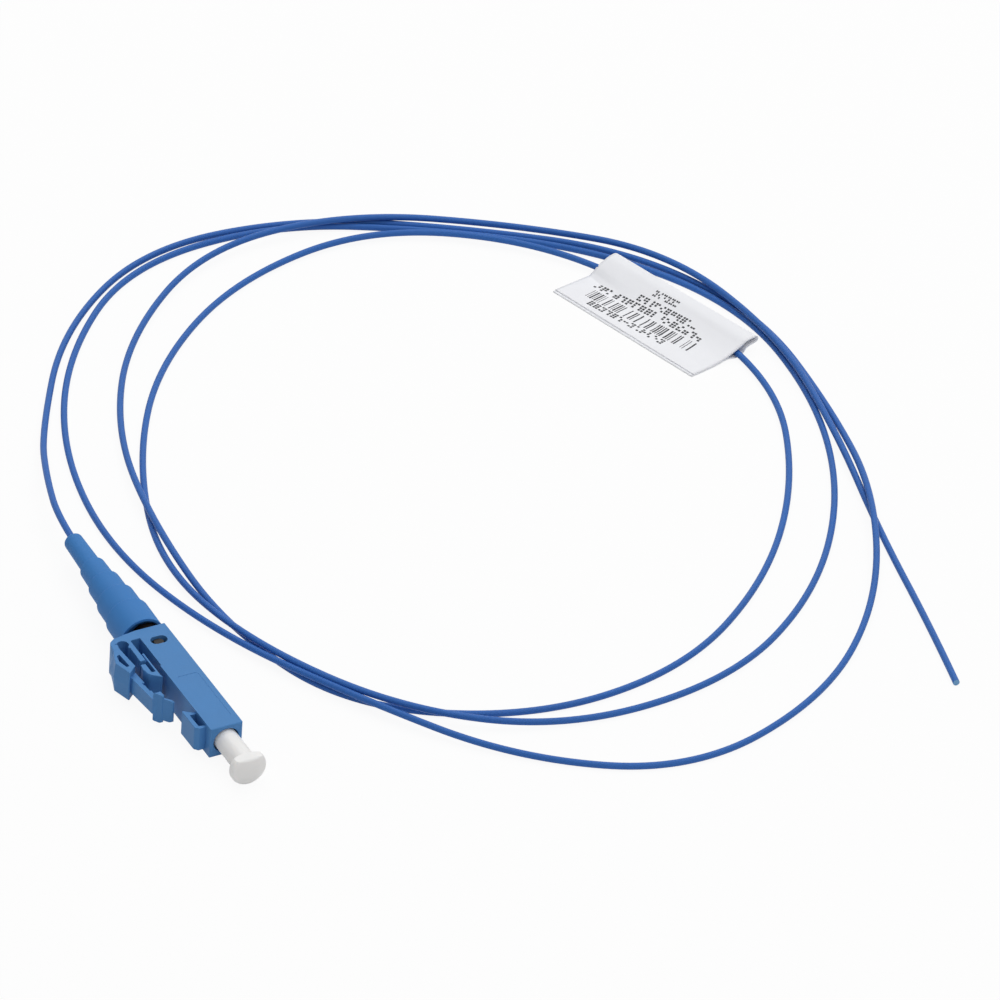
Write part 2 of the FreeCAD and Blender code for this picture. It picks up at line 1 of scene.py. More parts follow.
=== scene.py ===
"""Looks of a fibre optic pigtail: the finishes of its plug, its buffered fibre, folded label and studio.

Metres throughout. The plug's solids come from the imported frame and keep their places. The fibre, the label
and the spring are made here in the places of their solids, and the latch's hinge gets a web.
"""
import itertools
import json
import math

import bmesh
import bpy
from bpy.props import FloatProperty, FloatVectorProperty, IntProperty, PointerProperty
from mathutils import Matrix, Vector


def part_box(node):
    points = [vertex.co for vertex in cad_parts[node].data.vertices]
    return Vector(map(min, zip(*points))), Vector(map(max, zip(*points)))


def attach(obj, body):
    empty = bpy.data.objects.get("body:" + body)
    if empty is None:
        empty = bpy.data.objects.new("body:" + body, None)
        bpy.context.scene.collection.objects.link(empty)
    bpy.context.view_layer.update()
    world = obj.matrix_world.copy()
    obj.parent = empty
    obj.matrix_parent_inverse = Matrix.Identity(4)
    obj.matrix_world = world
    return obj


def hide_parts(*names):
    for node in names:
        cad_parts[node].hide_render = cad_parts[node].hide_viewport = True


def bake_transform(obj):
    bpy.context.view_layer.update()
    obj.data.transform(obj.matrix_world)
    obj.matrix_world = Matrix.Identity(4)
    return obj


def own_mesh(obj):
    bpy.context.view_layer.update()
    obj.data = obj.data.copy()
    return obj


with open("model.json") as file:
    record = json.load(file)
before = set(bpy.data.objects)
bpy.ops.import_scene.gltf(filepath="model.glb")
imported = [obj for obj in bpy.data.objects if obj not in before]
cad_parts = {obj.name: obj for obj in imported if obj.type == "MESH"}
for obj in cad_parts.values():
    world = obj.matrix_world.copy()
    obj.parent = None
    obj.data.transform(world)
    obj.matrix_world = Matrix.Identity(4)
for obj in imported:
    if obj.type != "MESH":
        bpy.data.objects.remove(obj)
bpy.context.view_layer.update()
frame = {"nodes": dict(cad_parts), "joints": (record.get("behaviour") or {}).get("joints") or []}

bl_info = {
    "name": "Fibre Pigtail",
    "version": (1, 0, 0),
    "blender": (4, 5, 0),
    "location": "3D View > Sidebar > Pigtail",
    "description": "Builds the finishes, fibre, flag label and studio of a buffered fibre pigtail",
    "category": "Object",
}

# Corners of the line that the fibre lies along, from inside the plug to the cut end
FIBRE_ROUTE = (
    (0.00492, 0.00235, 0.00287), (-0.01008, 0.00235, 0.00317), (-0.0305, 0.00292, 0.00359),
    (-0.0418, 0.0064, 0.0027), (-0.0536, 0.0114, 0.00055), (-0.0748, 0.0245, 0.00045),
    (-0.0884, 0.0435, 0.00047), (-0.0866, 0.0666, 0.00045), (-0.0753, 0.0862, 0.00045),
    (-0.0612, 0.1046, 0.00045), (-0.0403, 0.1132, 0.00048), (-0.0171, 0.111, 0.00045),
    (0.0046, 0.1054, 0.00211), (0.0247, 0.0945, 0.00062), (0.04, 0.0779, 0.00045), (0.047, 0.0548, 0.00045),
    (0.0355, 0.0354, 0.00052), (0.0168, 0.0219, 0.00179), (-0.004, 0.0123, 0.00092),
    (-0.0262, 0.0082, 0.00045), (-0.0486, 0.012, 0.00051), (-0.0688, 0.0223, 0.00045),
    (-0.0852, 0.0391, 0.00045), (-0.0869, 0.0621, 0.00045), (-0.0765, 0.0826, 0.00045),
    (-0.0627, 0.101, 0.00045), (-0.043, 0.1119, 0.00045), (-0.0197, 0.1103, 0.00045),
    (0.0013, 0.1022, 0.00045), (0.0195, 0.0881, 0.00045), (0.0317, 0.0691, 0.00049),
    (0.0326, 0.0448, 0.00045), (0.0221, 0.026, 0.00198), (0.0008, 0.0148, 0.0018),
    (-0.0213, 0.0127, 0.00045), (-0.0434, 0.0206, 0.00049), (-0.0621, 0.0327, 0.00045),
    (-0.0763, 0.0511, 0.00046), (-0.0804, 0.0738, 0.00085), (-0.0675, 0.0936, 0.00115),
    (-0.0473, 0.1039, 0.00068), (-0.0244, 0.107, 0.0006), (-0.0034, 0.0978, 0.00045),
    (0.0143, 0.0836, 0.00045), (0.0272, 0.0645, 0.00045), (0.0288, 0.0416, 0.00045),
    (0.017, 0.0208, 0.00051), (-0.0052, 0.0144, 0.00045), (-0.0279, 0.0151, 0.00189),
    (-0.0499, 0.0205, 0.00073), (-0.0696, 0.0318, 0.00045), (-0.0842, 0.0503, 0.00125),
    (-0.0836, 0.0725, 0.00163), (-0.0728, 0.0934, 0.00055), (-0.0574, 0.1084, 0.00162),
    (-0.0333, 0.1121, 0.0017), (-0.0112, 0.1084, 0.00131), (0.0109, 0.1027, 0.00045),
    (0.0327, 0.098, 0.00045), (0.044, 0.0951, 0.00045),
)
# Order of the fibre's spline, its steps between corners, and how finely it is rounded
FIBRE_ORDER = 3
FIBRE_STEPS = 20
FIBRE_SIDES = 5

# Cut end of the fibre, from inside it round its face to the glass: how far out and how wide, in its radii
CUT_FACE = ((-0.3, 0.0), (-0.3, 0.8), (0.02, 0.96), (0.08, 0.88), (0.04, 0.36), (0.1, 0.28), (0.12, 0.0))
CUT_SIDES = 24

# Points in a turn of the spring, and sides of its wire
SPRING_STEPS = 24
WIRE_SIDES = 10

# Web of the latch's hinge: distance back of the pivot, out at its ends and its middle, and half its height
WEB_STATIONS = (
    (0.00075, 0.00033, 0.00033, 0.00222), (0.00042, 0.00048, 0.00048, 0.00226),
    (0.0, 0.0005, 0.00058, 0.00226), (-0.00045, 0.00053, 0.00076, 0.00224),
    (-0.0008, 0.00056, 0.00094, 0.00221), (-0.00105, 0.00056, 0.00106, 0.00214),
)
# Its inner side's place, the cut of its edges, its steps in height, and the angle of a sharp edge
WEB_INNER = -0.0001
WEB_EDGE = 0.00007
WEB_STEPS = 8
WEB_SHARP = math.radians(30)

# Label: how far in and how high the outside of its upper leaf is up to the fold, at its left and right ends
LABEL_RISE = (
    ((0.0064, 0.0003), (0.0070, 0.00064), (0.0074, 0.0010), (0.00785, 0.00134), (0.0088, 0.0018),
     (0.0097, 0.00216)),
    ((0.0024, 0.00033), (0.0040, 0.00044), (0.0056, 0.00068), (0.0071, 0.0011), (0.0085, 0.00164),
     (0.0097, 0.00216)),
)
# The lower leaf in the same terms at the right end, closed up on both sides of the fibre; the left is flat
LABEL_LIFT = (
    (0.0, 0.0), (0.0016, 0.0), (0.0040, 0.0001), (0.0056, 0.00031), (0.0064, 0.00036), (0.0072, 0.0002),
    (0.0078, 0.00006), (0.0087, 0.00006), (0.0092, 0.0004), (0.0098, 0.001),
)
# Lift and outward push of the fold at the right end, and the power by which the lift grows along the label
FOLD_LIFT = 0.0013
FOLD_PUSH = 0.0006
LIFT_POWER = 4
# Columns along the film, and rows of its flat, its fold, and each step of its rise and its lift
LABEL_COLUMNS = 60
FLAT_ROWS = 28
FOLD_ROWS = 18
RISE_ROWS = 6
LIFT_ROWS = 4

# Rows of plain dot blocks: where each starts and ends along the label, its place up the leaf, and its cells
SIGN_ROWS = (
    (0.0102, 0.0146, 0.0088, 6),
    (0.0088, 0.0196, 0.0071, 11),
    (0.0023, 0.0217, 0.0057, 17),
    (0.0047, 0.0184, 0.0019, 13),
)
SIGN_HEIGHT = 0.00108
# Dots of a block: places across its cell and up its row, size of one, all as shares, and the share left out
DOT_PLACES = tuple(itertools.product((-0.21, 0.21), (-0.37, 0.0, 0.37)))
DOT_SIZE = (0.32, 0.27)
DOTS_LEFT_OUT = 0.3
# Row of upright bars in the same terms, with their height and the spread of their widths
BAR_ROW = (0.0028, 0.0218, 0.0037, 50)
BAR_HEIGHT = 0.00205
BAR_WIDTH = 0.00017
BAR_SPREAD = 0.55
BARS_LEFT_OUT = 0.26
# Points across and up one mark, so that it follows the film
MARK_COLUMNS = 4
MARK_ROWS = 5
# Point that the print is turned about, as shares of the flat film
PRINT_MIDDLE = (0.5, 0.2, 0.0)
# The print is measured from the upper leaf's edge, where the film's map ends: gain and start of each share
MAP_GAIN = (1.0, -1.0, 0.0)
MAP_START = (0.0, 1.0, 0.0)
# Places of a Random Value node's sockets for a number, and of its result for a choice
NUMBER_LEAST, NUMBER_MOST, NUMBER_RESULT, CHOICE_RESULT = 2, 3, 1, 3

# Detail of the noise in a moulded surface's slow drift and in its fine grain
DRIFT_DETAIL = 3.0
GRAIN_DETAIL = 2.0

WHITE = (1.0, 1.0, 1.0, 1.0)
# Floor, and the share of it that the camera sees as plain white, so that some of the shadow stays
FLOOR_COLOUR = (0.9, 0.9, 0.9, 1.0)
FLOOR_ROUGHNESS = 0.9
FLOOR_SPECULAR = 0.1
FLOOR_WHITE = 0.92


# Properties


def linear(red, green, blue):
    """Scene colour, with alpha, of a display colour given from 0 to 255, by the curve of sRGB."""
    def channel(value):
        share = value / 255
        return share / 12.92 if share <= 0.04045 else ((share + 0.055) / 1.055) ** 2.4
    return (channel(red), channel(green), channel(blue), 1.0)


def colour_property(name, description, rgb):
    """Colour given as it is displayed."""
    return FloatVectorProperty(name=name, description=description, subtype="COLOR", size=4, min=0, max=1,
                               default=linear(*rgb))


def length_property(name, description, metres):
    """Length in metres."""
    return FloatProperty(name=name, description=description, unit="LENGTH", min=0, precision=5,
                         default=metres)


def angle_property(name, description, degrees):
    """Angle given in degrees."""
    return FloatProperty(name=name, description=description, subtype="ANGLE", default=math.radians(degrees))


def place_property(name, description, place):
    """Point or offset in metres."""
    return FloatVectorProperty(name=name, description=description, subtype="TRANSLATION", size=3,
                               default=place)


def amount_property(name, description, amount, least=0):
    """Number of its own unit."""
    return FloatProperty(name=name, description=description, min=least, default=amount)


class PigtailColours(bpy.types.PropertyGroup):
    """Colours of the pigtail's finishes."""
    housing: colour_property("Housing", "Blue of the moulded housing and latch", (79, 134, 192))
    boot: colour_property("Boot", "Blue of the soft boot", (64, 126, 192))
    buffer: colour_property("Buffer", "Blue of the fibre's buffer", (54, 105, 181))
    cut: colour_property("Cut end", "Paler blue of the fibre's cut face", (116, 166, 210))
    cap: colour_property("Dust cap", "White of the soft dust cap", (242, 241, 240))
    film: colour_property("Label film", "White of the folded label", (246, 247, 251))
    ink: colour_property("Print", "Grey of the label's print", (40, 41, 46))
    backbone: colour_property("Backbone", "Dark brown of the inner body", (24, 18, 16))
    ceramic: colour_property("Ferrule", "White of the ceramic ferrule", (240, 238, 230))
    plated: colour_property("Flange", "Plated metal of the ferrule's holder", (196, 190, 178))
    steel: colour_property("Spring", "Drawn steel wire of the spring", (176, 177, 180))
    glass: colour_property("Glass", "Coated glass of the stripped fibre", (220, 232, 240))


class PigtailSizes(bpy.types.PropertyGroup):
    """Sizes of the fibre, the folded label and the spring."""
    fibre: length_property("Fibre diameter", "Outside diameter of the buffered fibre", 0.0009)
    label_long: length_property("Label length", "Length of the label along the fibre", 0.0267)
    film: length_property("Film", "Thickness of the label's film", 0.00015)
    lip: length_property("Lip", "How far the lower leaf shows past the upper one", 0.0004)
    fold_in: length_property("Fold", "Distance from the near edge to the middle of the fold", 0.0106)
    fold_radius: length_property("Fold radius", "Outside radius of the fold", 0.00115)
    label_corner: place_property("Label corner", "Near left corner of the label", (-0.0571, 0.0902, 0.0))
    label_heading: angle_property("Label heading", "Way that the label's length runs", 16.3)
    label_lean: angle_property("Label lean", "Lean of the label's ends", 4.8)
    print_skew: angle_property("Print skew", "Turn of the print against the label's edge", 3.6)
    print_seed: IntProperty(name="Print seed", description="Seed that the print's marks are picked with",
                            default=4)
    ink: length_property("Ink", "Thickness of the print on the film", 0.00001)
    spring_radius: length_property("Spring radius", "Radius of the coil to the middle of its wire", 0.00119)
    spring_wire: length_property("Spring wire", "Radius of the spring's wire", 0.00016)
    spring_turns: amount_property("Spring turns", "Turns of the spring", 8, least=1)


class PigtailStudio(bpy.types.PropertyGroup):
    """Camera, floor and light of the studio."""
    azimuth: angle_property("Azimuth", "Turn of the view about the vertical", 60.14)
    elevation: angle_property("Elevation", "Height of the view above the floor", 35.0)
    roll: angle_property("Roll", "Roll of the camera", 3.563)
    distance: length_property("Distance", "Distance from the camera to its target", 1.2)
    target: place_property("Target", "Point on the floor at the middle of the picture",
                           (-0.016393, 0.060545, 0.0))
    lens: amount_property("Lens", "Focal length in millimetres", 327.77, least=1)
    sensor: amount_property("Sensor", "Width of the camera's sensor in millimetres", 36.0, least=1)
    clip: length_property("Clip", "Distance from which the camera sees", 0.01)
    key_place: place_property("Key place", "Overhead light's place from the target", (-0.35, 0.22, 1.06))
    key_size: length_property("Key size", "Side of the overhead light", 1.5)
    key_power: amount_property("Key power", "Power of the overhead light in watts", 11.2)
    fill_place: place_property("Fill place", "Right light's place from the target", (1.1, 0.0, 0.95))
    fill_size: length_property("Fill size", "Side of the light right of the camera", 1.0)
    fill_power: amount_property("Fill power", "Power of the light right of the camera in watts", 4.1)
    ambient: amount_property("Ambient", "Strength of the white surroundings", 0.25)
    floor_size: length_property("Floor size", "Side of the square floor", 4.0)


# Node helpers


def group_socket(group, name, direction, kind):
    """Add an input or an output to a node group."""
    group.interface.new_socket(name=name, in_out=direction, socket_type="NodeSocket" + kind)


def set_sockets(tree, node, values):
    """Fill a node's inputs, by name or place: sockets are linked, the rest are values."""
    for slot, value in values.items():
        if isinstance(value, bpy.types.NodeSocket):
            tree.links.new(value, node.inputs[slot])
        else:
            node.inputs[slot].default_value = value


def tree_node(tree, kind, values=None, **settings):
    """New node of a tree with its settings and what its inputs take."""
    node = tree.nodes.new(kind)
    for name, value in settings.items():
        setattr(node, name, value)
    set_sockets(tree, node, values or {})
    return node


def math_node(tree, operation, first, second):
    """Result of a Math node on two sockets or numbers."""
    return tree_node(tree, "ShaderNodeMath", {0: first, 1: second}, operation=operation).outputs[0]


def vector_node(tree, operation, *values):
    """Result of a Vector Math node on sockets or vectors."""
    return tree_node(tree, "ShaderNodeVectorMath", dict(enumerate(values)), operation=operation).outputs[0]


# Shared shader nodes


def show_white(tree, lit, white, share, output):
    """End a tree in a shader that gives light, and in a share of white where the camera sees it.

    It sees it straight, by gloss or through glass."""
    path = tree_node(tree, "ShaderNodeLightPath").outputs
    seen = path["Is Camera Ray"]
    for ray in ("Is Glossy Ray", "Is Transmission Ray"):
        seen = math_node(tree, "MAXIMUM", seen, path[ray])
    shown = math_node(tree, "MULTIPLY", seen, share)
    mix = tree_node(tree, "ShaderNodeMixShader", {0: shown, 1: lit.outputs[0], 2: white.outputs[0]})
    set_sockets(tree, tree.nodes[output], {"Surface": mix.outputs[0]})


def moulded_surface_group():
    """Group for moulded and drawn surfaces: slow drift of tone, fine grain, and gloss that follows both."""
    name = "Moulded surface"
    if name in bpy.data.node_groups:
        return bpy.data.node_groups[name]
    group = bpy.data.node_groups.new(name, "ShaderNodeTree")
    group_socket(group, "Colour", "INPUT", "Color")
    for socket in ("Drift size", "Drift", "Grain size", "Roughness", "Roughness spread"):
        group_socket(group, socket, "INPUT", "Float")
    group_socket(group, "Colour", "OUTPUT", "Color")
    for socket in ("Roughness", "Height"):
        group_socket(group, socket, "OUTPUT", "Float")
    given = tree_node(group, "NodeGroupInput").outputs
    place = tree_node(group, "ShaderNodeTexCoord").outputs["Object"]

    def noise(size, detail):
        scale = math_node(group, "DIVIDE", 1.0, given[size])
        values = {"Vector": place, "Scale": scale, "Detail": detail}
        return tree_node(group, "ShaderNodeTexNoise", values).outputs["Fac"]

    slow = noise("Drift size", DRIFT_DETAIL)
    fine = noise("Grain size", GRAIN_DETAIL)
    swing = math_node(group, "MULTIPLY", math_node(group, "SUBTRACT", slow, 0.5), 2.0)
    gain = math_node(group, "ADD", math_node(group, "MULTIPLY", swing, given["Drift"]), 1.0)
    tone = tree_node(group, "ShaderNodeVectorMath", {0: given["Colour"], "Scale": gain}, operation="SCALE")
    off = math_node(group, "SUBTRACT", math_node(group, "ADD", slow, fine), 1.0)
    spread = math_node(group, "MULTIPLY", off, given["Roughness spread"])
    rough = math_node(group, "ADD", spread, given["Roughness"])
    tree_node(group, "NodeGroupOutput", {"Colour": tone.outputs[0], "Roughness": rough, "Height": fine})
    return group


# Materials


def fresh_material(name):
    """New material with only a Principled shader, returned with its tree and shader."""
    material = bpy.data.materials.new(name)
    material.use_nodes = True
    tree = material.node_tree
    return material, tree, tree.nodes["Principled BSDF"]


def moulded_material(name, colour, drift_size, drift, grain_size, depth, roughness, spread, sockets):
    """Plastic or metal whose colour, gloss and grain come from the moulded surface group.

    The depth is the grain's height, and the sockets are the shader's own, with their values."""
    material, tree, shader = fresh_material(name)
    values = {"Colour": colour, "Drift size": drift_size, "Drift": drift, "Grain size": grain_size,
              "Roughness": roughness, "Roughness spread": spread}
    surface = tree_node(tree, "ShaderNodeGroup", values, node_tree=moulded_surface_group()).outputs
    relief = {"Strength": 1.0, "Distance": depth, "Height": surface["Height"]}
    bump = tree_node(tree, "ShaderNodeBump", relief)
    set_sockets(tree, shader, {"Base Color": surface["Colour"], "Roughness": surface["Roughness"],
                               "Normal": bump.outputs["Normal"], **sockets})
    return material


def satin_blue(colours):
    """Satin moulded plastic of the housing and the latch."""
    return moulded_material(
        "satin_blue", colours.housing, drift_size=0.003, drift=0.05, grain_size=0.00007, depth=0.0000015,
        roughness=0.46, spread=0.12, sockets={"Specular IOR Level": 0.15})


def soft_blue(colours):
    """Soft elastomer of the boot, a little duller than the housing."""
    return moulded_material(
        "soft_blue", colours.boot, drift_size=0.004, drift=0.06, grain_size=0.00009, depth=0.000002,
        roughness=0.54, spread=0.12, sockets={"Specular IOR Level": 0.15})


def buffer_blue(colours):
    """Extruded buffer of the fibre."""
    return moulded_material(
        "buffer_blue", colours.buffer, drift_size=0.012, drift=0.07, grain_size=0.0004, depth=0.0000004,
        roughness=0.42, spread=0.14, sockets={"Specular IOR Level": 0.15})


def cut_blue(colours):
    """Rough face of the cut buffer."""
    return moulded_material(
        "cut_blue", colours.cut, drift_size=0.0003, drift=0.25, grain_size=0.00005, depth=0.000004,
        roughness=0.5, spread=0.2, sockets={"Specular IOR Level": 0.3})


def cap_white(colours):
    """Soft translucent plastic of the dust cap."""
    glow = {"Subsurface Weight": 0.6, "Subsurface Radius": (1.0, 0.95, 0.9), "Subsurface Scale": 0.001}
    return moulded_material(
        "cap_white", colours.cap, drift_size=0.003, drift=0.02, grain_size=0.00008, depth=0.000001,
        roughness=0.42, spread=0.1, sockets=glow)


def backbone_brown(colours):
    """Dark, uneven surface of the inner body."""
    return moulded_material(
        "backbone_brown", colours.backbone, drift_size=0.002, drift=0.2, grain_size=0.00006, depth=0.000001,
        roughness=0.38, spread=0.2, sockets={"Specular IOR Level": 0.2})


def ceramic_white(colours):
    """Polished ceramic of the ferrule."""
    glow = {"Subsurface Weight": 0.15, "Subsurface Scale": 0.0004}
    return moulded_material(
        "ceramic_white", colours.ceramic, drift_size=0.002, drift=0.02, grain_size=0.00004, depth=0.0000003,
        roughness=0.16, spread=0.05, sockets=glow)


def plated_metal(colours):
    """Plated turned metal of the ferrule's holder."""
    return moulded_material(
        "plated_metal", colours.plated, drift_size=0.001, drift=0.08, grain_size=0.00005, depth=0.0000005,
        roughness=0.28, spread=0.15, sockets={"Metallic": 1.0})


def spring_steel(colours):
    """Bright drawn wire of the spring."""
    return moulded_material(
        "spring_steel", colours.steel, drift_size=0.0008, drift=0.1, grain_size=0.00004, depth=0.0000004,
        roughness=0.24, spread=0.12, sockets={"Metallic": 1.0})


def coated_glass(colours):
    """Thin coated strand of glass."""
    return moulded_material(
        "coated_glass", colours.glass, drift_size=0.001, drift=0.04, grain_size=0.00004, depth=0.0000002,
        roughness=0.12, spread=0.05, sockets={"Transmission Weight": 0.5, "IOR": 1.46})


def film_white(colours):
    """Matt film of the label, with a faint mottle and slack in its surface."""
    return moulded_material(
        "film_white", colours.film, drift_size=0.0035, drift=0.025, grain_size=0.0009, depth=0.00001,
        roughness=0.58, spread=0.12, sockets={"Specular IOR Level": 0.35})


def print_grey(colours):
    """Thermal print, a little patchy."""
    return moulded_material(
        "print_grey", colours.ink, drift_size=0.0004, drift=0.45, grain_size=0.00008, depth=0.000001,
        roughness=0.6, spread=0.1, sockets={"Specular IOR Level": 0.3})


# Piece helpers


def link_object(name, data):
    """New object in the scene."""
    piece = bpy.data.objects.new(name, data)
    bpy.context.scene.collection.objects.link(piece)
    return piece


def set_material(piece, material):
    """Give a piece or a carried-over solid one material in place of its own."""
    if piece.material_slots:
        for slot in piece.material_slots:
            slot.material = material
    else:
        piece.data.materials.append(material)


def finish_piece(piece, body):
    """Ride a new piece on its body."""
    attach(piece, body)


def mesh_data(name, mesh):
    """Mesh of a finished bmesh, which is freed."""
    data = bpy.data.meshes.new(name)
    mesh.to_mesh(data)
    mesh.free()
    return data


def skin_rings(mesh, rings):
    """Faces from each closed ring of points to the next."""
    return [mesh.faces.new(corners) for one, two in zip(rings, rings[1:])
            for corners in zip(one, one[1:] + one[:1], two[1:] + two[:1], two)]


def set_inputs(modifier, values):
    """Set a Geometry Nodes modifier's inputs by the names of its sockets."""
    for socket in modifier.node_group.interface.items_tree:
        if socket.name in values:
            modifier[socket.identifier] = values[socket.name]


def plain_mesh(carrier):
    """Turn a carrier's evaluated shape into its own plain mesh and drop its modifiers."""
    carrier.update_tag()
    seen = carrier.evaluated_get(bpy.context.evaluated_depsgraph_get())
    data = bpy.data.meshes.new_from_object(seen)
    carrier.modifiers.clear()
    carrier.data = data


def joint_row(name):
    """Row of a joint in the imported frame."""
    return next(joint for joint in frame["joints"] if joint["name"] == name)


def standing(place, way):
    """Matrix that puts a shape made up from the origin at a place, pointing a way."""
    return Matrix.Translation(place) @ way.to_track_quat("Z", "Y").to_matrix().to_4x4()


# Label film


def smooth_through(points, steps):
    """Points along a Catmull-Rom curve through (in, up) pairs, with its ends repeated."""
    ends = [points[0]] + list(points) + [points[-1]]
    found = []
    for a, b, c, d in zip(ends, ends[1:], ends[2:], ends[3:]):
        for step in range(steps):
            t = step / steps
            found.append(tuple(
                0.5 * (2 * q + (r - p) * t + (2 * p - 5 * q + 4 * r - s) * t * t
                       + (3 * q - p - 3 * r + s) * t ** 3)
                for p, q, r, s in zip(a, b, c, d)))
    found.append(tuple(points[-1]))
    return found


def film_line(sizes, rise, lift):
    """(in, up) points of the film's outside: lower leaf from its near edge, fold and upper leaf.

    The lift is the share of the lower leaf's full lift that this end has."""
    fold, top = sizes.fold_in + FOLD_PUSH * lift, 2 * sizes.fold_radius
    low = FOLD_LIFT * lift
    lower = smooth_through([(place, up * lift) for place, up in LABEL_LIFT] + [(fold, low)], LIFT_ROWS)[:-1]
    middle, radius = (top + low) / 2, (top - low) / 2
    turn = [math.pi * row / FOLD_ROWS for row in range(FOLD_ROWS)]
    bend = [(fold + radius * math.sin(angle), middle - radius * math.cos(angle)) for angle in turn]
    slope = smooth_through([(fold, top)] + list(reversed(rise)), RISE_ROWS)
    start, edge = Vector(rise[0]), Vector((sizes.lip, 2 * sizes.film))
    near = [start.lerp(edge, row / FLAT_ROWS) for row in range(1, FLAT_ROWS + 1)]
    return [Vector(point) for point in lower + bend + slope + near]


def build_film(sizes):
    """Open sheet of the label's outside, and its width when laid flat.

    Its UV map holds the shares of the length and of that width."""
    left, right = (film_line(sizes, rise, lift) for lift, rise in enumerate(LABEL_RISE))
    lifted = len(LABEL_LIFT) * LIFT_ROWS + FOLD_ROWS
    along = Vector((math.cos(sizes.label_heading), math.sin(sizes.label_heading), 0))
    turn = sizes.label_heading - sizes.label_lean
    inward = Vector((-math.sin(turn), math.cos(turn), 0))
    mesh = bmesh.new()
    uv = mesh.loops.layers.uv.new("Film")
    grid, ways = [], []
    for column in range(LABEL_COLUMNS + 1):
        share = column / LABEL_COLUMNS
        rises = [share ** LIFT_POWER] * lifted + [share] * (len(left) - lifted)
        line = [Vector((a.x + (b.x - a.x) * share, a.y + (b.y - a.y) * rise))
                for a, b, rise in zip(left, right, rises)]
        start = Vector(sizes.label_corner) + along * (sizes.label_long * share)
        grid.append([mesh.verts.new(start + inward * point.x + Vector((0, 0, point.y))) for point in line])
        ways.append([0.0, *itertools.accumulate((b - a).length for a, b in zip(line, line[1:]))])
    for column in range(LABEL_COLUMNS):
        for row in range(len(left) - 1):
            corners = ((column, row), (column, row + 1), (column + 1, row + 1), (column + 1, row))
            face = mesh.faces.new([grid[c][r] for c, r in corners])
            face.smooth = True
            for loop, (c, r) in zip(face.loops, corners):
                loop[uv].uv = (c / LABEL_COLUMNS, ways[c][r] / ways[c][-1])
    return mesh_data("label_film", mesh), ways[0][-1]


# Label print


def mark_row_group():
    """Geometry group that lays one row of plain oblong marks on the film, by the film's flat map."""
    name = "Row of marks"
    if name in bpy.data.node_groups:
        return bpy.data.node_groups[name]
    group = bpy.data.node_groups.new(name, "GeometryNodeTree")
    kinds = {"Film": "Geometry", "First": "Vector", "Pitch": "Float", "Marks": "Int", "Size": "Vector",
             "Spread": "Float", "Left out": "Float", "Seed": "Int", "Flat size": "Vector", "Skew": "Float",
             "Lift": "Float"}
    for socket, kind in kinds.items():
        group_socket(group, socket, "INPUT", kind)
    group_socket(group, "Marks", "OUTPUT", "Geometry")
    given = tree_node(group, "NodeGroupInput").outputs
    step = tree_node(group, "ShaderNodeCombineXYZ", {"X": given["Pitch"]})
    line = tree_node(group, "GeometryNodeMeshLine", {
        "Count": given["Marks"], "Start Location": given["First"], "Offset": step.outputs[0]})
    oblong = tree_node(group, "GeometryNodeMeshGrid", {
        "Size X": 1.0, "Size Y": 1.0, "Vertices X": MARK_COLUMNS, "Vertices Y": MARK_ROWS})
    share = math_node(group, "SUBTRACT", 1.0, given["Left out"])
    kept = tree_node(group, "FunctionNodeRandomValue", {"Probability": share, "Seed": given["Seed"]},
                     data_type="BOOLEAN")
    least = math_node(group, "SUBTRACT", 1.0, given["Spread"])
    most = math_node(group, "ADD", 1.0, given["Spread"])
    gain = tree_node(group, "FunctionNodeRandomValue", {
        NUMBER_LEAST: least, NUMBER_MOST: most, "Seed": given["Seed"]})
    wide = tree_node(group, "ShaderNodeCombineXYZ", {"X": gain.outputs[NUMBER_RESULT], "Y": 1.0, "Z": 1.0})
    marks = tree_node(group, "GeometryNodeInstanceOnPoints", {
        "Points": line.outputs[0], "Selection": kept.outputs[CHOICE_RESULT], "Instance": oblong.outputs[0],
        "Scale": vector_node(group, "MULTIPLY", given["Size"], wide.outputs[0])})
    flat = tree_node(group, "GeometryNodeRealizeInstances", {"Geometry": marks.outputs[0]})
    here = tree_node(group, "GeometryNodeInputPosition").outputs[0]
    middle = vector_node(group, "MULTIPLY", given["Flat size"], PRINT_MIDDLE)
    turned = tree_node(group, "ShaderNodeVectorRotate", {
        "Vector": here, "Center": middle, "Angle": given["Skew"]}, rotation_type="Z_AXIS")
    shares = vector_node(group, "DIVIDE", turned.outputs[0], given["Flat size"])
    spot = vector_node(group, "MULTIPLY_ADD", shares, MAP_GAIN, MAP_START)
    flat_map = tree_node(group, "GeometryNodeInputNamedAttribute", {"Name": "Film"},
                         data_type="FLOAT_VECTOR")
    normal = tree_node(group, "GeometryNodeInputNormal").outputs[0]
    place, out = (
        tree_node(group, "GeometryNodeSampleUVSurface", {
            "Mesh": given["Film"], "Value": value, "UV Map": flat_map.outputs[0], "Sample UV": spot},
            data_type="FLOAT_VECTOR").outputs[0]
        for value in (here, normal))
    rise = tree_node(group, "ShaderNodeVectorMath", {0: out, "Scale": given["Lift"]}, operation="SCALE")
    laid = tree_node(group, "GeometryNodeSetPosition", {
        "Geometry": flat.outputs[0], "Position": place, "Offset": rise.outputs[0]})
    tree_node(group, "NodeGroupOutput", {"Marks": laid.outputs[0]})
    return group


